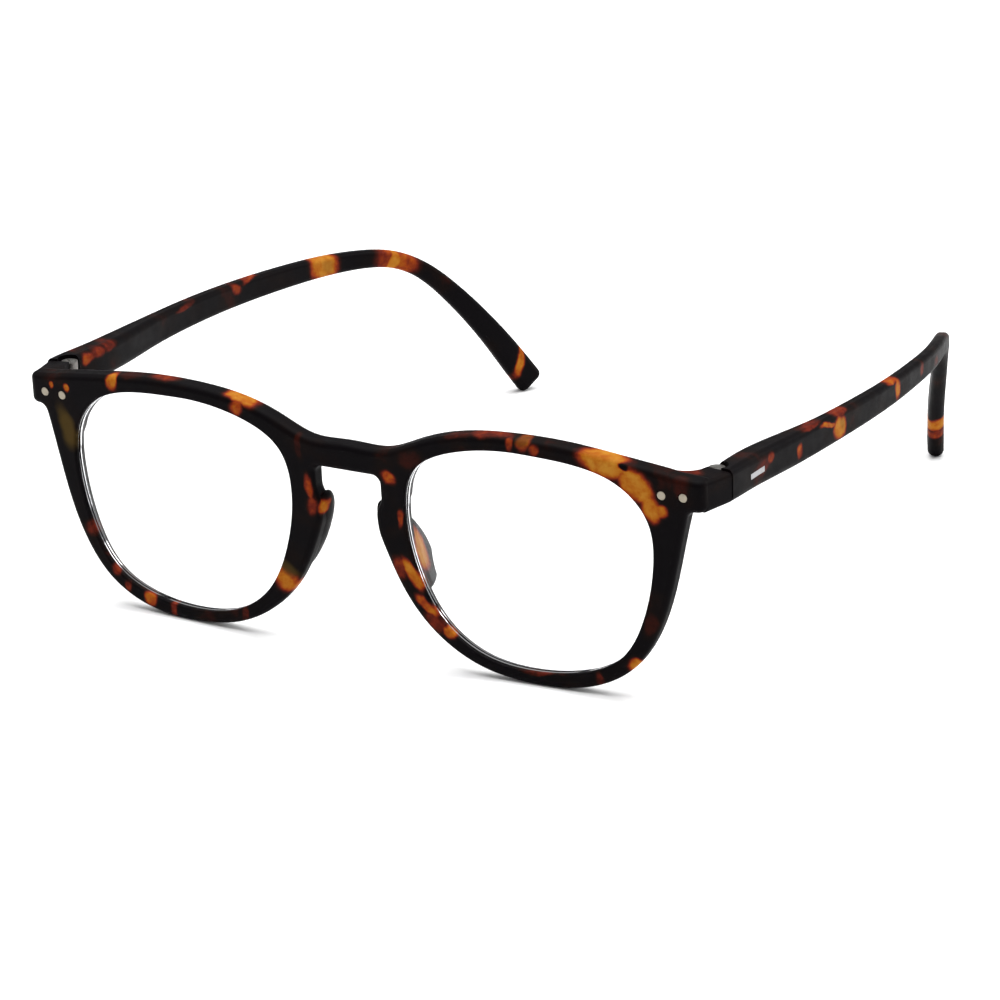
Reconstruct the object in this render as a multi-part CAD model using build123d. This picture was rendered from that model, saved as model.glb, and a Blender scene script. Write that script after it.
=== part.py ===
"""Folding reading glasses: a keyhole-bridge front with moulded nose pads, two meniscus lenses and
two temples on spring hinges. Millimetres. +X is the wearer's left, -Y the way the wearer looks,
+Z up. The glasses stand open on a table: the front's lower rims and both temple tips touch z = 0.
Everything is drawn about the middle of the front and moved to the middle of the footprint last.
"""
import math
import os

from build123d import *

# ---- driving dimensions -------------------------------------------------------------------
FACE_RADIUS = 595.0         # base curve of the front, seen from above
FRONT_LEAN = 2.77           # degrees that the front leans forward at its top
THICKNESS_LOW = 3.4         # thickness of the front at the table
THICKNESS_HIGH = 4.4        # and at its top
FRONT_HEIGHT = 46.0
FRONT_ROUNDING = 1.1        # outside edges of the rims
REAR_ROUNDING = 1.4
OPENING_ROUNDING = 0.4
BRIDGE_TOP = 40.3
BRIDGE_LOW = 35.3
NASAL_X = 6.8               # straight sides of the keyhole
PAD_CREST_X = 5.7           # where the pads stand closest to the nose
KEY_CORNER = 1.6
END_ROUNDING = 0.8
END_PIECE_X = 69.7          # outer side of the end piece at the front face
END_PIECE_LOW = 36.6
END_PIECE_HIGH = 42.3
END_CORNER = 1.9            # upright rounding of the end piece's front corner
CROTCH_X = 67.75            # where the rounding under the end piece starts
CROTCH_RADIUS = 1.6
END_BLOCK_INNER = 66.2      # inner side of the hinge block behind the end piece
END_BLOCK_SWEEP = 4.9       # hollow rounding between that side and the back of the rim
END_BLOCK_FRONT = 3.8
END_BLOCK_LOW = 36.7
END_BLOCK_HIGH = 42.1       # its top at the outside
END_BLOCK_RISE = 43.2       # and at the rim

LENS_CENTRE_X = 35.5        # lens box centre from the middle of the bridge
LENS_CENTRE_Z = 23.2
GROOVE_DEPTH = 2.1          # lens groove behind the front face
LENS_MIDDLE = 2.5           # lens thickness at its centre
LENS_FRONT_RADIUS = 150.0
LENS_REAR_RADIUS = 240.0
LENS_BULGE = 2.65           # lens front centre ahead of its bevel
LENS_LAND = 0.04            # clearance of the lens edge in the opening
BEVEL_HEIGHT = 0.5          # bevel crest beyond the opening's edge
BEVEL_SLOPE = 1.1           # half width of the bevel for each millimetre of height
BEVEL_ROOT = 0.08           # how far inside the opening's edge the bevel starts
BEVEL_CLEARANCE = 0.04

PAD_SPLAY = 24.0            # degrees that the nose pads splay downwards
# Upright ovals that make a nose pad: distance behind the face, middle x and z, half height, half width.
PAD_OVALS = [
    (1.0, 9.3, 21.4, 8.4, 1.4),
    (4.0, 9.5, 21.2, 9.0, 2.2),
    (6.0, 10.1, 20.6, 8.0, 2.0),
    (7.6, 10.7, 20.1, 6.6, 1.6),
    (8.7, 11.1, 19.8, 4.8, 1.2),
    (9.3, 11.3, 19.7, 2.8, 0.6),
]

PIN_X = 67.2                # hinge pin, from the middle of the front
PIN_Y = 11.8
PIN_Z = 39.9
JOINT_PLANE = 10.2          # where the end piece stops
JOINT_GAP = 0.15
TEMPLE_OUTER_X = 71.0       # outer face of the end piece at the joint
KNUCKLE_RADIUS = 1.5
KNUCKLE_HEIGHT = 1.5
KNUCKLE_GAP = 0.04
SCREW_RADIUS = 0.6
SCREW_CLEARANCE = 0.04
SCREW_HEAD_RADIUS = 1.05
SCREW_HEAD_HEIGHT = 0.5
SCREW_SLOT = 0.25
SHANK_WIDTH = 1.2           # front hinge plate buried in the end piece
SHANK_LENGTH = 4.6
KNUCKLE_LOW = PIN_Z - 2.25
KNUCKLE_HIGH = PIN_Z + 2.25
FIT_BURIED = 0.02           # clearance of metal let into plastic
NOTCH_RADIUS = 2.2          # hollow in the temple root around the knuckles

CARRIAGE_X = 68.8           # middle of the spring carriage and its housing
CARRIAGE_WIDTH = 1.4
LINK_FRONT = 12.6
LINK_REAR = 14.0
CARRIAGE_REAR = 17.0
ROD_RADIUS = 0.42
ROD_END = 24.3
HOUSING_FRONT = 14.3
HOUSING_REAR = 25.6
HOUSING_WIDTH = 2.4
HOUSING_HEIGHT = 2.8
MOUTH_DEPTH = 3.2
WEB = 0.8
CHAMBER_RADIUS = 0.95
FIT = 0.05
NUT_RADIUS = 0.84
NUT_LENGTH = 0.8
SPRING_WIRE = 0.13          # wire radius
SPRING_RADIUS = 0.70
SPRING_TURNS = 7
STRETCH = 1.2               # how far the temple can be pulled off the carriage

RIVET_X = {"inner": 62.0, "outer": 66.0}
RIVET_Z = 39.4
RIVET_RADIUS = 0.84
RIVET_DEPTH = 2.2
RIVET_SINK = 0.02

MARK_LENGTH = 5.0           # plain inlaid bar on the outside of the left temple
MARK_HEIGHT = 1.0
MARK_DEPTH = 0.4
MARK_Y = 19.5
MARK_Z = 39.2

# Temple centre line: x, y, z, height, thickness. Straight behind the hinge, then the ear bend.
TEMPLE_STATIONS = [
    (68.60, 8.0, 39.75, 5.9, 4.8),
    (68.65, 18.0, 39.4, 6.1, 4.9),
    (68.75, 26.0, 39.0, 6.1, 4.9),
    (69.35, 34.0, 38.65, 5.95, 4.2),
    (70.00, 43.0, 38.35, 5.6, 3.3),
    (70.30, 56.0, 37.95, 5.2, 2.9),
    (69.75, 71.0, 37.3, 4.8, 2.7),
    (68.05, 86.0, 36.5, 4.4, 2.6),
    (65.80, 98.0, 35.7, 4.0, 2.6),
    (63.00, 107.0, 34.75, 3.6, 2.6),
    (60.10, 114.2, 33.0, 3.4, 2.65),
    (57.30, 119.6, 29.8, 3.5, 2.7),
    (54.60, 124.4, 25.0, 3.9, 2.8),
    (51.90, 129.0, 19.2, 4.4, 2.9),
    (49.20, 133.6, 12.6, 5.0, 3.05),
    (46.60, 138.6, 4.9, 5.6, 3.2),
    (45.33, 140.95, 1.2, 5.6, 3.2),
]
ROOT_ROUNDNESS = 0.25       # corner radius as a share of the thickness
TIP_ROUNDNESS = 0.44
TIP_ROUNDING = 1.3

FRONT_TILT = Rotation(FRONT_LEAN, 0, 0)


# ---- helpers ------------------------------------------------------------------------------
def across(flat, near, far):
    """A face drawn in X and Z, carried along Y from near to far."""
    return Pos(0, far, 0) * extrude(Plane.XZ * flat, amount=far - near)


def box_between(low, high):
    """Box from its lowest to its highest corner."""
    size = [b - a for a, b in zip(low, high)]
    middle = [(a + b) / 2 for a, b in zip(low, high)]
    return Pos(*middle) * Box(*size)


def upright(x, y, low, high, radius):
    """Upright cylinder from low to high."""
    return Pos(x, y, (low + high) / 2) * Cylinder(radius, high - low)


def lengthwise(x, z, near, far, radius):
    """Cylinder along Y from near to far."""
    return Pos(x, (near + far) / 2, z) * Rotation(90, 0, 0) * Cylinder(radius, far - near)


def mirrored(part):
    """The same piece for the wearer's right."""
    return mirror(part, about=Plane.YZ)


# ---- front --------------------------------------------------------------------------------
def outer_half():
    """Left half of the front's outline, from the bridge top round to the keyhole's middle."""
    top = Spline((0, BRIDGE_TOP), (8, 40.4), (15, 43.1), (23, 45.4), (32, 46.25), (43, 46.0),
                 (54, 44.6), (63, 43.2), (END_PIECE_X, END_PIECE_HIGH), tangents=[(1, 0), (1, -0.11)])
    side = Line(top @ 1, (END_PIECE_X, END_PIECE_LOW))
    shelf = Line(side @ 1, (CROTCH_X, END_PIECE_LOW))
    corner = JernArc(shelf @ 1, (-1, 0), CROTCH_RADIUS, 75)
    rim = Spline(corner @ 1, (63.9, 25.6), (60.3, 13.8), (54.4, 5.2), (45.7, 0.8), (LENS_CENTRE_X, 0),
                 (25.2, 1.7), (16.0, 7.2), (9.6, 15.8), (6.6, 22.8), (PAD_CREST_X, 27.8),
                 tangents=[corner % 1, (0, 1)])
    pad_step = Spline(rim @ 1, (NASAL_X, 31.4), tangents=[(0, 1), (0, 1)])
    key_side = Line(pad_step @ 1, (NASAL_X, BRIDGE_LOW - KEY_CORNER))
    key_corner = JernArc(key_side @ 1, (0, 1), KEY_CORNER, 90)
    key_top = Line(key_corner @ 1, (0, BRIDGE_LOW))
    middle = Line((0, BRIDGE_LOW), (0, BRIDGE_TOP))
    return make_face([top, side, shelf, corner, rim, pad_step, key_side, key_corner, key_top, middle])


def lens_outline(grow=0.0):
    """The lens opening about the lens centre, a rounded pantos shape, moved outwards by grow."""
    points = [(0.0, 20.4), (11.0, 19.45), (18.75, 16.55), (23.4, 10.9), (24.1, 2.3), (21.9, -7.6),
              (16.9, -16.0), (8.6, -19.8), (-0.5, -20.7), (-10.2, -18.95), (-17.7, -13.3),
              (-22.15, -4.2), (-23.85, 5.8), (-22.0, 13.9), (-14.0, 18.75)]
    spokes = [Vector(x, z) for x, z in points]
    moved = [spoke * (1 + grow / spoke.length) for spoke in spokes]
    return Pos(0, LENS_CENTRE_Z) * make_face(Spline(*moved, periodic=True))


def in_lens_frame(part):
    """Carry a piece drawn about the lens centre into its place behind the curved front."""
    turn = math.degrees(math.asin(LENS_CENTRE_X / FACE_RADIUS))
    face_y = LENS_CENTRE_X ** 2 / (2 * FACE_RADIUS)
    return Pos(LENS_CENTRE_X, face_y + GROOVE_DEPTH, 0) * Rotation(0, 0, turn) * part


def bevel_ridge(clearance):
    """V-shaped ridge round the lens, or the groove for it when clearance is positive."""
    crest = BEVEL_HEIGHT + clearance
    foot = (crest + BEVEL_ROOT) * BEVEL_SLOPE
    rings = [(-BEVEL_ROOT, -foot), (crest, 0.0), (-BEVEL_ROOT, foot)]
    faces = [Pos(0, y, 0) * (Plane.XZ * lens_outline(grow)) for grow, y in rings]
    return loft(faces, ruled=True)


def thickness_at(z):
    """Thickness of the front at a height, thinner towards the table."""
    return THICKNESS_LOW + (THICKNESS_HIGH - THICKNESS_LOW) * z / FRONT_HEIGHT


def rim_edges(shell, depth_at):
    """Edges of the outline that lie this far behind the face at their height, off the middle plane."""
    chosen = []
    for edge in shell.edges():
        spots = [edge @ u for u in (0, 0.3, 0.5, 0.8, 1)]
        off = max(abs(FACE_RADIUS - math.hypot(spot.X, spot.Y - FACE_RADIUS) - depth_at(spot.Z))
                  for spot in spots)
        if off < 0.02 and max(abs(spot.X) for spot in spots) > 0.01:
            chosen.append(edge)
    return chosen


def half_shell():
    """Left rim and half the bridge, thicker towards the top, with rounded edges."""
    low, high = -5, 55
    outer = upright(0, FACE_RADIUS, low, high, FACE_RADIUS)
    hollow = Cone(FACE_RADIUS - thickness_at(low), FACE_RADIUS - thickness_at(high), high - low)
    hollow = Pos(0, FACE_RADIUS, (low + high) / 2) * hollow
    shell = across(outer_half(), -3, 12) & (outer - hollow)
    upright_edges = shell.edges().filter_by(Axis.Z)
    side = [edge for edge in upright_edges if abs((edge @ 0.5).X - END_PIECE_X) < 0.01]
    shell = fillet(min(side, key=lambda edge: (edge @ 0.5).Y), END_CORNER)
    shell = fillet(rim_edges(shell, lambda z: 0), FRONT_ROUNDING)
    shell = fillet(rim_edges(shell, thickness_at), REAR_ROUNDING)
    return shell


def open_rim(shell):
    """Cut the lens opening and round its two edges."""
    shell = shell - in_lens_frame(across(lens_outline(), -7, 9))
    opening = [edge for edge in shell.edges() if edge.length > 120]
    return fillet(opening, OPENING_ROUNDING)


def nose_pad():
    """Moulded pad: upright ovals that grow out of the rim and shrink and splay towards the nose."""
    ovals = []
    for depth, x, z, tall, wide in PAD_OVALS:
        oval = Rotation(0, 0, PAD_SPLAY) * Ellipse(wide, tall)
        ovals.append(Pos(x, depth, z) * (Plane.XZ * oval))
    return loft(ovals)


def end_block():
    """Corner block that carries the hinge, from inside the rim back to the joint plane."""
    left = END_BLOCK_INNER - END_BLOCK_SWEEP - 1
    inner = (END_BLOCK_INNER, JOINT_PLANE)
    bend = (END_BLOCK_INNER - END_BLOCK_SWEEP, JOINT_PLANE - END_BLOCK_SWEEP)
    flank = (END_PIECE_X - 0.02, END_BLOCK_FRONT)
    outer = (TEMPLE_OUTER_X, JOINT_PLANE)
    plan = [
        Line((left, END_BLOCK_FRONT), flank),
        Line(flank, outer),
        Line(outer, inner),
        RadiusArc(inner, bend, END_BLOCK_SWEEP),
        Line(bend, (left, bend[1])),
        Line((left, bend[1]), (left, END_BLOCK_FRONT)),
    ]
    side = Polyline((left, END_BLOCK_LOW), (TEMPLE_OUTER_X + 1, END_BLOCK_LOW),
                    (TEMPLE_OUTER_X + 1, END_BLOCK_HIGH), (left, END_BLOCK_RISE), close=True)
    block = Pos(0, 0, 30) * extrude(make_face(plan), amount=20)
    block = block & across(make_face(side), END_BLOCK_FRONT - 1, JOINT_PLANE + 1)
    long_edges = [edge for edge in block.edges()
                  if (edge @ 0.5).X > END_PIECE_X and abs((edge % 0.5).Y) > 0.9]
    return fillet(long_edges, END_ROUNDING)


def shank_pocket():
    """Blind slot for the buried plate of the front hinge."""
    return shank(FIT_BURIED)


def shank(clearance=0.0):
    """Upright plate from inside the end piece to the knuckles."""
    low = (PIN_X - 0.2 - clearance, JOINT_PLANE - SHANK_LENGTH - clearance, KNUCKLE_LOW - clearance)
    high = (PIN_X - 0.2 + SHANK_WIDTH + clearance, PIN_Y - 0.5, KNUCKLE_HIGH + clearance)
    return box_between(low, high)


def rivet(x, clearance=0.0):
    """Short metal pin let into the front face, square to it."""
    turn = math.degrees(math.asin(x / FACE_RADIUS))
    face_y = x ** 2 / (2 * FACE_RADIUS)
    pin = Rotation(90, 0, 0) * Cylinder(RIVET_RADIUS + clearance, RIVET_DEPTH + clearance)
    pin = Pos(0, (RIVET_DEPTH + clearance) / 2 + RIVET_SINK, 0) * pin
    return Pos(x, face_y, RIVET_Z) * Rotation(0, 0, turn) * pin


def left_rivet(x):
    """Rivet pin with a rounded visible end."""
    pin = rivet(x)
    face_edge = pin.edges().filter_by(GeomType.CIRCLE).sort_by(Axis.Y)[0]
    return FRONT_TILT * fillet(face_edge, 0.12)


def left_front():
    """Left half of the front with its pad, end piece, groove, rivet holes and hinge slot."""
    half = FRONT_TILT * (open_rim(half_shell()) + nose_pad())
    half = half + end_block()
    half = half - FRONT_TILT * in_lens_frame(bevel_ridge(BEVEL_CLEARANCE))
    for x in RIVET_X.values():
        hole = rivet(x, FIT_BURIED)
        mouth = Pos(0, -1, 0) * hole
        half = half - FRONT_TILT * (hole + mouth)
    return half - shank_pocket()


def front_frame():
    """The whole front: both halves in one moulding."""
    half = left_front()
    return half + mirrored(half)


# ---- lenses -------------------------------------------------------------------------------
def left_lens():
    """Meniscus lens with a bevel all round."""
    blank = across(lens_outline(-LENS_LAND), -6, 6)
    front_ball = Pos(0, LENS_FRONT_RADIUS - LENS_BULGE, LENS_CENTRE_Z) * Sphere(LENS_FRONT_RADIUS)
    rear_y = LENS_REAR_RADIUS - LENS_BULGE + LENS_MIDDLE
    rear_ball = Pos(0, rear_y, LENS_CENTRE_Z) * Sphere(LENS_REAR_RADIUS)
    lens = (blank & front_ball) - rear_ball
    return FRONT_TILT * in_lens_frame(lens + bevel_ridge(0.0))


# ---- hinge --------------------------------------------------------------------------------
def front_hinge():
    """Buried plate with an upper and a lower knuckle, bored and countersunk for the screw."""
    knuckles = upright(PIN_X, PIN_Y, KNUCKLE_LOW, KNUCKLE_HIGH, KNUCKLE_RADIUS)
    half_gap = KNUCKLE_HEIGHT / 2 + KNUCKLE_GAP
    middle = upright(PIN_X, PIN_Y, PIN_Z - half_gap, PIN_Z + half_gap, KNUCKLE_RADIUS + 0.1)
    bore = upright(PIN_X, PIN_Y, KNUCKLE_LOW - 1, KNUCKLE_HIGH + 1, SCREW_RADIUS + SCREW_CLEARANCE)
    seat_low = KNUCKLE_HIGH - SCREW_HEAD_HEIGHT - FIT_BURIED
    seat_radius = SCREW_HEAD_RADIUS + SCREW_CLEARANCE
    seat = upright(PIN_X, PIN_Y, seat_low, KNUCKLE_HIGH + 1, seat_radius)
    return shank() + knuckles - middle - bore - seat


def hinge_screw():
    """Slotted pivot screw through all three knuckles."""
    neck = KNUCKLE_HIGH - SCREW_HEAD_HEIGHT
    stem = upright(PIN_X, PIN_Y, KNUCKLE_LOW + 0.1, neck, SCREW_RADIUS)
    head = upright(PIN_X, PIN_Y, neck, KNUCKLE_HIGH, SCREW_HEAD_RADIUS)
    slot = Pos(PIN_X, PIN_Y, KNUCKLE_HIGH) * Rotation(0, 0, 35) * Box(3, SCREW_SLOT, 0.4)
    return stem + head - slot


def spring_carriage():
    """Middle knuckle on a square neck that slides in the housing, with a rod for the spring."""
    half = KNUCKLE_HEIGHT / 2
    knuckle = upright(PIN_X, PIN_Y, PIN_Z - half, PIN_Z + half, KNUCKLE_RADIUS)
    link_end = CARRIAGE_X + CARRIAGE_WIDTH / 2
    link = box_between((PIN_X, LINK_FRONT, PIN_Z - half), (link_end, LINK_REAR, PIN_Z + half))
    neck = box_between((CARRIAGE_X - CARRIAGE_WIDTH / 2, LINK_FRONT, PIN_Z - half),
                       (link_end, CARRIAGE_REAR, PIN_Z + half))
    rod = lengthwise(CARRIAGE_X, PIN_Z, CARRIAGE_REAR, ROD_END, ROD_RADIUS)
    bore = upright(PIN_X, PIN_Y, PIN_Z - 1, PIN_Z + 1, SCREW_RADIUS + SCREW_CLEARANCE)
    return knuckle + link + neck + rod - bore


def housing_block(clearance=0.0):
    """Outer block of the spring housing, or the pocket for it."""
    half_width = HOUSING_WIDTH / 2 + clearance
    half_height = HOUSING_HEIGHT / 2 + clearance
    low = (CARRIAGE_X - half_width, HOUSING_FRONT - clearance, PIN_Z - half_height)
    high = (CARRIAGE_X + half_width, HOUSING_REAR + clearance, PIN_Z + half_height)
    return box_between(low, high)


def spring_housing():
    """Steel box: square mouth for the neck, a web bored for the rod, and the spring chamber."""
    reach = CARRIAGE_WIDTH / 2 + FIT
    rise = KNUCKLE_HEIGHT / 2 + FIT
    mouth_rear = HOUSING_FRONT + MOUTH_DEPTH
    mouth = box_between((CARRIAGE_X - reach, HOUSING_FRONT - 1, PIN_Z - rise),
                        (CARRIAGE_X + reach, mouth_rear, PIN_Z + rise))
    bore = lengthwise(CARRIAGE_X, PIN_Z, mouth_rear - 1, mouth_rear + WEB + 1, ROD_RADIUS + FIT)
    chamber = lengthwise(CARRIAGE_X, PIN_Z, mouth_rear + WEB, HOUSING_REAR + 1, CHAMBER_RADIUS)
    return housing_block() - mouth - bore - chamber


def spring_nut():
    """Round nut on the rod's end that the spring pushes against."""
    nut = lengthwise(CARRIAGE_X, PIN_Z, ROD_END - NUT_LENGTH, ROD_END, NUT_RADIUS)
    hole = lengthwise(CARRIAGE_X, PIN_Z, ROD_END - 2, ROD_END + 1, ROD_RADIUS + FIT_BURIED)
    return nut - hole


def return_spring():
    """Coil spring round the rod, at the length it has with the temple pulled right out."""
    start = HOUSING_FRONT + MOUTH_DEPTH + WEB + SPRING_WIRE + 0.05
    stop = ROD_END - NUT_LENGTH - STRETCH - SPRING_WIRE - 0.1
    length = stop - start
    coil = Helix(pitch=length / SPRING_TURNS, height=length, radius=SPRING_RADIUS)
    section = Plane(origin=coil @ 0, z_dir=coil % 0) * Circle(SPRING_WIRE)
    spring = sweep(section, path=coil, is_frenet=True)
    return Pos(CARRIAGE_X, start, PIN_Z) * Rotation(-90, 0, 0) * spring


# ---- temple -------------------------------------------------------------------------------
def temple_sections():
    """Rounded rectangles square to the centre line, standing upright across it."""
    centres = [Vector(x, y, z) for x, y, z, _, _ in TEMPLE_STATIONS]
    last = len(centres) - 1
    sections = []
    for index, (_, _, _, height, thickness) in enumerate(TEMPLE_STATIONS):
        ahead = centres[min(index + 1, last)] - centres[max(index - 1, 0)]
        plane = Plane(origin=centres[index], x_dir=ahead.cross(Vector(0, 0, 1)), z_dir=ahead)
        share = ROOT_ROUNDNESS + (TIP_ROUNDNESS - ROOT_ROUNDNESS) * index / last
        sections.append(plane * RectangleRounded(thickness, height, share * thickness))
    return sections


def solid_temple():
    """The left temple before its hollows, with a rounded tip."""
    temple = loft(temple_sections())
    tip = temple.faces().sort_by(Axis.Z)[0]
    temple = fillet(tip.edges(), TIP_ROUNDING)
    root = JOINT_PLANE + JOINT_GAP
    return temple - box_between((60, 0, 30), (80, root, 50))


def mark_block():
    """Box that cuts the plain inlaid bar out of the temple's outer skin."""
    low = (TEMPLE_OUTER_X - MARK_DEPTH, MARK_Y - MARK_LENGTH / 2, MARK_Z - MARK_HEIGHT / 2)
    high = (TEMPLE_OUTER_X + 2, MARK_Y + MARK_LENGTH / 2, MARK_Z + MARK_HEIGHT / 2)
    return box_between(low, high)


def hollow_temple():
    """The left temple with its knuckle notch, link slot and housing pocket."""
    notch = upright(PIN_X, PIN_Y, 30, 50, NOTCH_RADIUS)
    rise = KNUCKLE_HEIGHT / 2 + 0.25
    link_end = CARRIAGE_X + CARRIAGE_WIDTH / 2 + 0.2
    slot = box_between((PIN_X, JOINT_PLANE, PIN_Z - rise), (link_end, HOUSING_FRONT, PIN_Z + rise))
    return solid_temple() - notch - slot - housing_block(FIT_BURIED)


# ---- all pieces ---------------------------------------------------------------------------
def hand_pieces():
    """Pieces of the wearer's left that have a mirrored twin."""
    pieces = {"lens": left_lens(), "front_hinge": front_hinge(), "hinge_screw": hinge_screw(),
              "spring_carriage": spring_carriage(), "spring_housing": spring_housing(),
              "spring_nut": spring_nut(), "return_spring": return_spring()}
    for place, x in RIVET_X.items():
        pieces[place + "_rivet"] = left_rivet(x)
    return pieces


def all_pieces():
    """Every piece by its node name, about the middle of the front."""
    temple = hollow_temple()
    pieces = {"front_frame": front_frame(), "left_temple": temple - mark_block(),
              "right_temple": mirrored(temple), "left_temple_mark": solid_temple() & mark_block()}
    for name, piece in hand_pieces().items():
        pieces["left_" + name] = piece
        pieces["right_" + name] = mirrored(piece)
    return pieces


def main():
    """Move the glasses to the middle of their footprint and write one file for each piece."""
    os.makedirs("parts", exist_ok=True)
    pieces = all_pieces()
    boxes = [piece.bounding_box() for piece in pieces.values()]
    near = min(box.min.Y for box in boxes)
    far = max(box.max.Y for box in boxes)
    floor = min(box.min.Z for box in boxes)
    for name, piece in pieces.items():
        placed = Pos(0, -(near + far) / 2, -floor) * piece
        export_step(placed, f"parts/{name}.step")
    print(f"shift along y {-(near + far) / 2:.4f}, lift {-floor:.4f}, length {far - near:.2f}")
    print(f"front stands at {pieces['front_frame'].bounding_box().min.Z:.3f}")
    print(f"temple tips at {pieces['left_temple'].bounding_box().min.Z:.3f}")


if __name__ == "__main__":
    main()
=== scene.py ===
import math

import bpy
from mathutils import Matrix, Vector

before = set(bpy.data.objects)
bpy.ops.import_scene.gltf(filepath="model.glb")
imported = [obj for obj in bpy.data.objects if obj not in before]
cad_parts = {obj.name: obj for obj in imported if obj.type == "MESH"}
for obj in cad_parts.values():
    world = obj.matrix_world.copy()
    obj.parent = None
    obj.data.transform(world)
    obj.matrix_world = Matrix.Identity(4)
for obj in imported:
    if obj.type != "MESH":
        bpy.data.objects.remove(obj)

# Looks for a pair of matte tortoiseshell reading glasses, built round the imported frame.
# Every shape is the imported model's own. This script gives each node its material, lights the
# glasses and sets the camera. Material positions are in millimetres in the shared frame: x across,
# y from the front back to the temple tips, z up from the surface the glasses stand on.

# ---------------------------------------------------------------- camera, floor and light
CAMERA_PLACE = (0.51115, -0.87500, 0.37445)
CAMERA_RIGHT = (0.86371758, 0.50307807, -0.03007316)
CAMERA_UP = (-0.14741459, 0.30925192, 0.93948506)
CAMERA_BACK = (0.48194, -0.80702, 0.34127)
SENSOR_WIDTH = 36.0
FOCAL_LENGTH = 206.54
FLOOR_SIZE = 12.0
WORLD_BRIGHTNESS = 0.42
# name, place (m), aimed at (m), width and length (m), power (W)
LIGHTS = [
    ("softbox_top", (0.0, 0.15, 1.3), (0.0, 0.0, 0.0), (1.6, 1.6), 34.0),
    ("softbox_back", (0.9, 1.1, 0.8), (0.0, 0.0, 0.02), (1.0, 0.8), 9.0),
    ("softbox_left", (-1.3, -0.2, 0.7), (0.0, 0.0, 0.02), (0.8, 0.8), 4.0),
]

# ---------------------------------------------------------------- tortoiseshell
# Heat of the pattern against its colour: near black, dark red, red, orange, amber.
SHELL_RAMP = [
    (0.00, (0.0026, 0.0020, 0.0026)),
    (0.12, (0.0050, 0.0026, 0.0022)),
    (0.28, (0.0270, 0.0046, 0.0028)),
    (0.42, (0.1050, 0.0120, 0.0055)),
    (0.56, (0.2300, 0.0340, 0.0052)),
    (0.74, (0.3200, 0.0940, 0.0066)),
    (1.00, (0.3900, 0.1600, 0.0170)),
]
OLIVE = (0.048, 0.029, 0.006)
PATCH_CORE = 0.48        # a patch keeps its full heat out to this share of its radii
PATCH_EDGE = 1.36        # and has cooled to nothing here
WIDE_BEND = (1.1, 0.15)  # bends of the patches' edges: how far (mm) and how many to the mm
FINE_BEND = (0.28, 0.6)
GROUND_HEAT = 0.26       # the warmest that the dark ground between patches gets
SHELL_ROUGHNESS = (0.40, 0.50)
SHELL_GLOSS = 0.025      # share of the gloss that a polished face would have
SKIN_DEPTH = 0.000010    # height of the moulded skin's grain (m)
PLASTIC_IOR = 1.49

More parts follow.
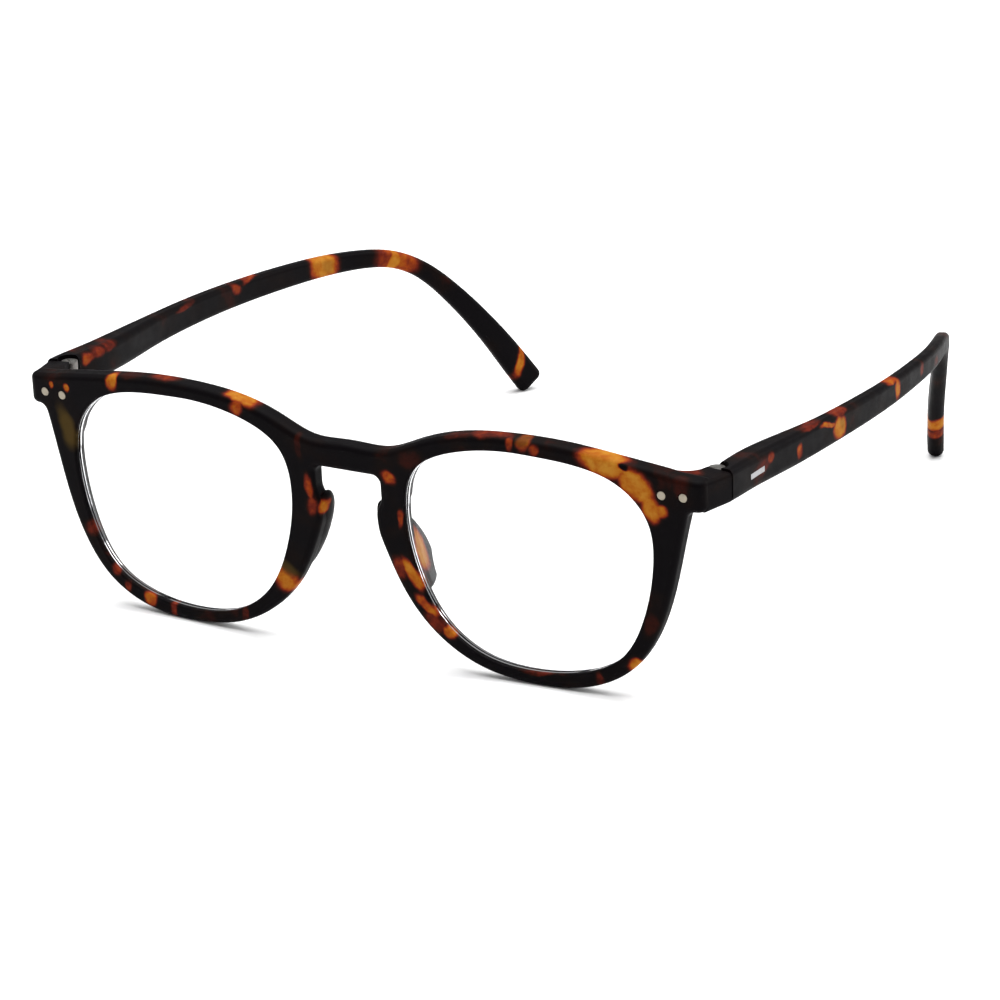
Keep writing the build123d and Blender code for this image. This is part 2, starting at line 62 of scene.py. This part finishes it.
# Patches of the front: centre x, y, z, radii x, y, z (mm), turn about y (degrees), heat.
FRONT_PATCHES = [
    (-50.4, -70.0, 44.3, 1.5, 3.0, 2.1, 0, 0.84),
    (-64.1, -69.5, 40.9, 0.6, 2.0, 0.9, 10, 0.66),
    (-61.0, -69.5, 40.9, 0.8, 2.0, 0.9, 0, 0.74),
    (-39.0, -68.8, 46.4, 4.2, 2.2, 1.1, 0, 0.46),
    (-46.5, -69.0, 45.9, 3.4, 2.6, 1.1, 0, 0.26),
    (-57.4, -69.0, 14.4, 2.0, 5.0, 1.9, 0, 0.40),
    (-22.6, -69.8, 45.5, 4.6, 3.4, 1.2, 17, 0.92),
    (-22.3, -72.3, 44.0, 1.6, 2.0, 1.7, 0, 0.60),
    (-9.2, -72.0, 39.0, 0.9, 2.0, 3.0, 0, 0.24),
    (-7.9, -71.6, 31.0, 0.9, 1.6, 3.0, -10, 0.56),
    (-7.4, -71.6, 27.8, 1.3, 1.8, 2.1, 0, 0.46),
    (-6.1, -70.0, 27.3, 1.3, 1.6, 1.9, 0, 1.00),
    (-14.3, -69.5, 12.4, 3.1, 5.0, 2.6, 35, 0.80),
    (8.7, -72.3, 35.7, 2.0, 2.6, 1.5, 28, 0.60),
    (13.5, -72.0, 39.8, 3.2, 3.0, 2.2, 0, 0.22),
    (10.6, -71.4, 28.0, 0.8, 2.0, 2.2, 0, 0.50),
    (10.2, -71.0, 18.4, 2.2, 3.0, 2.6, 0, 0.45),
    (12.6, -70.6, 17.6, 1.3, 3.0, 3.9, -28, 0.88),
    (15.2, -70.4, 11.8, 1.0, 3.0, 3.2, -48, 0.72),
    (11.8, -66.4, 21.5, 2.8, 2.6, 4.6, -12, 1.00),
    (33.1, -71.6, 45.3, 0.9, 2.6, 1.8, 0, 0.56),
    (35.7, -70.6, 45.7, 1.6, 3.0, 2.0, 0, 0.66),
    (37.8, -71.4, 44.7, 1.2, 2.0, 1.3, 0, 0.48),
    (28.7, -69.9, 46.3, 5.0, 2.4, 0.9, 0, 0.46),
    (23.0, -71.2, 45.4, 3.6, 2.2, 0.8, -10, 0.30),
    (51.2, -69.4, 43.9, 5.4, 4.0, 2.7, 12, 0.94),
    (57.2, -69.4, 40.7, 4.4, 4.0, 2.7, 48, 0.92),
    (59.8, -69.2, 36.6, 1.9, 4.0, 3.0, -18, 0.84),
    (61.6, -69.2, 36.5, 1.6, 2.6, 1.4, -20, 0.80),
    (65.6, -69.0, 42.0, 2.0, 2.6, 3.0, 0, 0.25),
    (-52.8, -69.0, 6.8, 1.3, 4.0, 1.4, 0, 0.42),
    (-50.1, -69.0, 4.3, 1.1, 4.0, 1.3, 0, 0.42),
    (-50.6, -68.6, 7.2, 5.0, 3.0, 0.7, 35, 0.60),
    (-45.0, -69.0, 2.7, 1.7, 4.0, 1.4, 30, 0.70),
    (-39.8, -69.2, 1.6, 0.9, 5.0, 3.0, 0, 0.48),
    (-23.8, -70.2, 4.0, 0.8, 4.0, 2.0, 0, 0.34),
    (16.8, -70.5, 8.9, 2.9, 4.0, 1.7, 42, 0.42),
    (19.2, -70.5, 7.4, 1.5, 4.0, 1.2, 20, 0.78),
    (37.4, -69.4, 2.9, 5.0, 4.0, 0.6, 0, 0.34),
    (48.7, -69.0, 3.2, 1.0, 4.0, 1.8, 0, 0.36),
    (55.4, -68.6, 6.5, 1.6, 4.0, 1.7, -40, 0.86),
    (58.9, -68.6, 14.9, 1.6, 4.0, 3.0, 0, 0.24),
    (64.0, -64.0, 42.0, 3.5, 2.6, 2.6, 0, 0.40),
]
FRONT_ISLANDS = [
    (55.1, -69.9, 43.8, 1.0, 2.0, 0.6, 0, 1.0),
    (52.2, -68.0, 45.4, 2.2, 1.6, 0.35, 12, 0.7),
]
FRONT_OLIVE = [
    (-61.6, -69.0, 33.2, 1.8, 4.0, 4.2, -14, 1.0),
    (-13.4, -69.5, 14.4, 2.4, 4.0, 1.4, 35, 0.8),
    (35.6, -71.0, 46.2, 1.4, 3.0, 1.4, 0, 0.6),
]
# Patches of the temples: centre y, z, radii y, z (mm), turn about x (degrees), heat.
LEFT_TEMPLE_PATCHES = [
    (-49.2, 39.8, 3.2, 2.0, 0, 0.36),
    (-46.3, 40.4, 1.6, 1.3, 0, 0.50),
    (-36.0, 38.0, 1.2, 1.5, 25, 0.62),
    (-21.2, 38.3, 2.6, 2.5, 20, 0.96),
    (-25.3, 39.7, 3.6, 0.6, -10, 0.80),
    (-30.5, 41.1, 4.4, 0.5, 0, 0.42),
    (-20.0, 41.0, 3.4, 0.8, 0, 0.46),
    (1.8, 39.6, 2.6, 0.6, 0, 0.66),
    (3.6, 37.6, 1.3, 2.6, 8, 0.80),
    (16.9, 37.2, 1.4, 1.2, 20, 0.52),
    (26.4, 35.4, 1.7, 1.2, 0, 0.33),
    (40.0, 36.0, 2.5, 2.0, 0, 0.22),
    (63.1, 8.9, 2.6, 1.7, 30, 0.88),
    (64.4, 6.4, 2.6, 1.7, 30, 0.50),
]
LEFT_TEMPLE_OLIVE = [(-20.4, 38.8, 0.9, 1.6, 10, 0.35)]
RIGHT_TEMPLE_PATCHES = [
    (-46.6, 41.3, 3.2, 1.1, 0, 0.42),
    (-50.8, 41.4, 3.0, 1.1, 0, 0.44),
    (-53.9, 41.3, 2.2, 1.3, 0, 0.56),
    (-17.5, 40.2, 4.2, 0.6, 6, 0.42),
    (4.8, 39.3, 3.4, 0.7, 6, 0.58),
    (-0.4, 38.7, 1.8, 1.2, -25, 0.46),
    (25.8, 36.4, 4.0, 3.8, 0, 0.92),
    (43.4, 33.4, 5.6, 4.6, -20, 0.58),
    (42.6, 33.4, 1.5, 3.4, -25, 0.88),
    (66.9, 7.2, 1.1, 4.2, -16, 0.86),
]
RIGHT_TEMPLE_OLIVE = [(26.6, 36.0, 1.6, 1.4, 0, 0.30)]

# Metals: colour, roughness, lines to the millimetre and the axis that the lines run along.
METALS = {
    "rivet_nickel": ((0.27, 0.24, 0.19), 0.36, 9.0, 0),
    # The hinge metal's colour is darkened far below nickel: painted shade for the dark recess round the
    # knuckle.
    "hinge_nickel_painted_shade": ((0.17, 0.16, 0.15), 0.36, 9.0, 1),
    # The screw metal is darkened as well: painted shade of the same recess round the hinge.
    "screw_nickel_painted_shade": ((0.30, 0.29, 0.27), 0.30, 12.0, 0),
    "spring_wire": ((0.50, 0.50, 0.51), 0.28, 12.0, 1),
    "silver_bar": ((0.36, 0.36, 0.37), 0.42, 10.0, 1),
}
SCRATCH_DEPTH = 0.000006 # height of the lines in the metal (m)


class Graph:
    """A material's node tree, built one node at a time."""

    def __init__(self, name):
        self.material = bpy.data.materials.new(name)
        self.material.use_nodes = True
        self.tree = self.material.node_tree
        self.tree.nodes.clear()

    def add(self, kind, inputs=None, **settings):
        """Adds a node. Each input is a number, a colour or another node's output."""
        node = self.tree.nodes.new(kind)
        for key, value in settings.items():
            setattr(node, key, value)
        for key, value in (inputs or {}).items():
            if isinstance(value, bpy.types.NodeSocket):
                self.tree.links.new(value, node.inputs[key])
            else:
                node.inputs[key].default_value = value
        return node

    def math(self, operation, first, second=0.0):
        node = self.add("ShaderNodeMath", {0: first, 1: second}, operation=operation)
        return node.outputs[0]

    def map_range(self, value, low, high, to_low, to_high):
        inputs = {"Value": value, "From Min": low, "From Max": high}
        inputs.update({"To Min": to_low, "To Max": to_high})
        return self.add("ShaderNodeMapRange", inputs, interpolation_type="SMOOTHSTEP").outputs[0]

    def mix(self, share, first, second, blend="MIX"):
        node = self.add("ShaderNodeMix", data_type="RGBA", blend_type=blend)
        for index, value in ((0, share), (6, first), (7, second)):
            if isinstance(value, bpy.types.NodeSocket):
                self.tree.links.new(value, node.inputs[index])
            elif index == 0:
                node.inputs[index].default_value = value
            else:
                node.inputs[index].default_value = (*value, 1.0)
        return node.outputs[2]

    def noise(self, vector, scale, detail=2.0, roughness=0.5):
        inputs = {"Vector": vector, "Scale": scale, "Detail": detail, "Roughness": roughness}
        return self.add("ShaderNodeTexNoise", inputs)

    def ramp(self, value, stops):
        node = self.add("ShaderNodeValToRGB", {"Fac": value})
        elements = node.color_ramp.elements
        while len(elements) < len(stops):
            elements.new(0.5)
        for element, (place, colour) in zip(elements, stops):
            element.position = place
            element.color = (*colour, 1.0)
        return node.outputs[0]

    def millimetres(self):
        """The piece's own coordinates, in millimetres."""
        place = self.add("ShaderNodeTexCoord").outputs["Object"]
        scale = {"Vector": place, "Scale": (1000.0, 1000.0, 1000.0)}
        return self.add("ShaderNodeMapping", scale).outputs[0]

    def wandering(self, place, amount, scale):
        """place, pushed about by up to about amount mm in bends of 1/scale mm."""
        push = self.noise(place, scale, 1.5).outputs["Color"]
        half = {0: push, 1: (0.5, 0.5, 0.5)}
        centred = self.add("ShaderNodeVectorMath", half, operation="SUBTRACT").outputs[0]
        scaled = {0: centred, "Scale": 2 * amount}
        step = self.add("ShaderNodeVectorMath", scaled, operation="SCALE").outputs[0]
        return self.add("ShaderNodeVectorMath", {0: place, 1: step}, operation="ADD").outputs[0]

    def bump(self, height, distance, strength=1.0):
        inputs = {"Height": height, "Distance": distance, "Strength": strength}
        return self.add("ShaderNodeBump", inputs).outputs[0]

    def surface(self, shader):
        self.add("ShaderNodeOutputMaterial", {"Surface": shader})
        return self.material


def patch_field(graph, place, patches):
    """The greatest heat of any of the patches at each point."""
    field = None
    for x, y, z, radius_x, radius_y, radius_z, turn_x, turn_y, heat in patches:
        fitted = {
            "Vector": place,
            "Location": (x, y, z),
            "Rotation": (math.radians(turn_x), math.radians(turn_y), 0.0),
            "Scale": (radius_x, radius_y, radius_z),
        }
        local = graph.add("ShaderNodeMapping", fitted, vector_type="TEXTURE").outputs[0]
        length = graph.add("ShaderNodeVectorMath", {0: local}, operation="LENGTH").outputs["Value"]
        glow = graph.map_range(length, PATCH_CORE, PATCH_EDGE, heat, 0.0)
        field = glow if field is None else graph.math("MAXIMUM", field, glow)
    return field


def across_front(patches):
    """Patches of the front, turned about y."""
    return [(x, y, z, a, b, c, 0, turn, heat) for x, y, z, a, b, c, turn, heat in patches]


def along_temple(patches):
    """Patches of a temple, turned about x and carried through its thickness."""
    return [(0, y, z, 400, b, c, turn, 0, heat) for y, z, b, c, turn, heat in patches]


def tortoiseshell(name, patches, olive, islands=()):
    """Matte tortoiseshell: warm patches with soft red edges in a near-black ground."""
    graph = Graph(name)
    place = graph.millimetres()
    wandering = graph.wandering(graph.wandering(place, *WIDE_BEND), *FINE_BEND)
    heat = patch_field(graph, wandering, patches)
    cloud = graph.noise(wandering, 0.11, 3.0, 0.55).outputs["Fac"]
    ground = graph.map_range(cloud, 0.45, 0.80, 0.0, GROUND_HEAT)
    heat = graph.math("MAXIMUM", heat, ground)
    streaks = graph.noise(wandering, 0.5, 3.0, 0.6).outputs["Fac"]
    uneven = graph.map_range(streaks, 0.25, 0.75, 0.72, 1.12)
    heat = graph.math("MULTIPLY", heat, uneven)
    if islands:
        cold = graph.math("SUBTRACT", 1.0, patch_field(graph, wandering, islands))
        heat = graph.math("MULTIPLY", heat, cold)
    colour = graph.ramp(heat, SHELL_RAMP)
    colour = graph.mix(patch_field(graph, wandering, olive), colour, OLIVE)
    speck = graph.noise(place, 9.0, 2.0).outputs["Fac"]
    mottle = graph.map_range(speck, 0.2, 0.8, 0.93, 1.05)
    tint = graph.add("ShaderNodeCombineColor", {0: mottle, 1: mottle, 2: mottle}).outputs[0]
    colour = graph.mix(1.0, colour, tint, "MULTIPLY")
    smear = graph.noise(place, 0.35, 4.0, 0.6).outputs["Fac"]
    roughness = graph.map_range(smear, 0.3, 0.7, *SHELL_ROUGHNESS)
    skin = graph.noise(place, 14.0, 3.0, 0.6).outputs["Fac"]
    waves = graph.noise(place, 0.5, 1.0).outputs["Fac"]
    height = graph.math("ADD", skin, graph.math("MULTIPLY", waves, 2.0))
    shader = graph.add("ShaderNodeBsdfPrincipled", {
        "Base Color": colour,
        "Roughness": roughness,
        "Normal": graph.bump(height, SKIN_DEPTH),
        "IOR": PLASTIC_IOR,
        "Specular IOR Level": SHELL_GLOSS,
    })
    return graph.surface(shader.outputs[0])


def brushed_metal(name, colour, roughness, grain, scratch_axis):
    """Satin metal with fine lines running along one axis and a little tarnish."""
    graph = Graph(name)
    place = graph.millimetres()
    stretch = [grain, grain, grain]
    stretch[scratch_axis] = grain / 20
    drawn = graph.add("ShaderNodeMapping", {"Vector": place, "Scale": tuple(stretch)}).outputs[0]
    lines = graph.noise(drawn, 1.0, 4.0, 0.65).outputs["Fac"]
    tarnish = graph.noise(place, 0.9, 3.0, 0.6).outputs["Fac"]
    dull = graph.map_range(tarnish, 0.35, 0.8, 0.0, 0.5)
    worn = tuple(0.62 * channel for channel in colour)
    base = graph.mix(dull, colour, worn)
    rough = graph.map_range(lines, 0.3, 0.7, roughness - 0.06, roughness + 0.08)
    shader = graph.add("ShaderNodeBsdfPrincipled", {
        "Base Color": base,
        "Metallic": 1.0,
        "Roughness": rough,
        "Normal": graph.bump(lines, SCRATCH_DEPTH),
    })
    return graph.surface(shader.outputs[0])


def clear_lens(name):
    """Polished clear plastic with a faint violet coating and a trace of dust."""
    graph = Graph(name)
    place = graph.millimetres()
    drift = graph.noise(place, 0.05, 2.0).outputs["Fac"]
    tint = graph.mix(drift, (0.985, 0.985, 0.995), (0.965, 0.975, 0.995))
    smear = graph.noise(place, 0.18, 4.0, 0.6).outputs["Fac"]
    rough = graph.map_range(smear, 0.45, 0.8, 0.0, 0.025)
    glass = graph.add("ShaderNodeBsdfPrincipled", {
        "Base Color": tint,
        "Roughness": rough,
        "IOR": PLASTIC_IOR,
        "Transmission Weight": 1.0,
        "Specular IOR Level": 0.35,
    })
    see_through = graph.add("ShaderNodeBsdfTransparent", {"Color": (0.94, 0.94, 0.95, 1.0)})
    shadow = graph.add("ShaderNodeLightPath").outputs["Is Shadow Ray"]
    mixed = graph.add("ShaderNodeMixShader", {0: shadow, 1: glass.outputs[0], 2: see_through.outputs[0]})
    return graph.surface(mixed.outputs[0])


def pale_floor():
    """A smooth pale paper sweep under the glasses."""
    graph = Graph("pale_floor")
    place = graph.millimetres()
    fibre = graph.noise(place, 0.02, 3.0).outputs["Fac"]
    colour = graph.mix(fibre, (0.90, 0.90, 0.90), (0.92, 0.92, 0.92))
    shader = graph.add("ShaderNodeBsdfPrincipled", {"Base Color": colour, "Roughness": 0.9})
    mesh = bpy.data.meshes.new("pale_floor")
    half = FLOOR_SIZE / 2
    corners = [(-half, -half, 0), (half, -half, 0), (half, half, 0), (-half, half, 0)]
    mesh.from_pydata(corners, [], [(0, 1, 2, 3)])
    floor = bpy.data.objects.new("pale_floor", mesh)
    bpy.context.scene.collection.objects.link(floor)
    mesh.materials.append(graph.surface(shader.outputs[0]))


def set_camera():
    data = bpy.data.cameras.new("view")
    data.sensor_width = SENSOR_WIDTH
    data.lens = FOCAL_LENGTH
    data.clip_start = 0.05
    data.clip_end = 50.0
    camera = bpy.data.objects.new("view", data)
    bpy.context.scene.collection.objects.link(camera)
    columns = (CAMERA_RIGHT, CAMERA_UP, CAMERA_BACK)
    turn = Matrix(columns).transposed().to_4x4()
    camera.matrix_world = Matrix.Translation(CAMERA_PLACE) @ turn
    bpy.context.scene.camera = camera


def set_lights():
    for name, place, target, (width, length), power in LIGHTS:
        data = bpy.data.lights.new(name, "AREA")
        data.shape = "RECTANGLE"
        data.size = width
        data.size_y = length
        data.energy = power
        light = bpy.data.objects.new(name, data)
        light.location = place
        light.rotation_euler = (Vector(target) - Vector(place)).to_track_quat("-Z", "Y").to_euler()
        bpy.context.scene.collection.objects.link(light)
    world = bpy.data.worlds.new("studio")
    world.use_nodes = True
    world.node_tree.nodes["Background"].inputs["Color"].default_value = (1.0, 1.0, 1.0, 1.0)
    world.node_tree.nodes["Background"].inputs["Strength"].default_value = WORLD_BRIGHTNESS
    bpy.context.scene.world = world


def dress(node, material):
    """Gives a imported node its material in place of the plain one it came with."""
    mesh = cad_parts[node].data
    mesh.materials.clear()
    mesh.materials.append(material)
    for face in mesh.polygons:
        face.material_index = 0


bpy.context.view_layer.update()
bpy.context.scene.view_settings.view_transform = "Standard"

set_camera()
set_lights()
pale_floor()

front_shell = tortoiseshell("front_shell", across_front(FRONT_PATCHES),
                            across_front(FRONT_OLIVE), across_front(FRONT_ISLANDS))
temple_shells = {
    "left": tortoiseshell("left_temple_shell", along_temple(LEFT_TEMPLE_PATCHES),
                          along_temple(LEFT_TEMPLE_OLIVE)),
    "right": tortoiseshell("right_temple_shell", along_temple(RIGHT_TEMPLE_PATCHES),
                           along_temple(RIGHT_TEMPLE_OLIVE)),
}
lens = clear_lens("clear_lens")
metals = {name: brushed_metal(name, *look) for name, look in METALS.items()}

dress("front_frame", front_shell)
for side in ("left", "right"):
    dress(side + "_temple", temple_shells[side])
    dress(side + "_lens", lens)
    dress(side + "_inner_rivet", metals["rivet_nickel"])
    dress(side + "_outer_rivet", metals["rivet_nickel"])
    # The hinge, spring carriage and spring housing take the hinge metal, darkened with painted shade.
    dress(side + "_front_hinge", metals["hinge_nickel_painted_shade"])
    dress(side + "_spring_carriage", metals["hinge_nickel_painted_shade"])
    dress(side + "_spring_housing", metals["hinge_nickel_painted_shade"])
    # The spring nut and hinge screw take the screw metal, darkened with painted shade.
    dress(side + "_spring_nut", metals["screw_nickel_painted_shade"])
    dress(side + "_hinge_screw", metals["screw_nickel_painted_shade"])
    dress(side + "_return_spring", metals["spring_wire"])
dress("left_temple_mark", metals["silver_bar"])
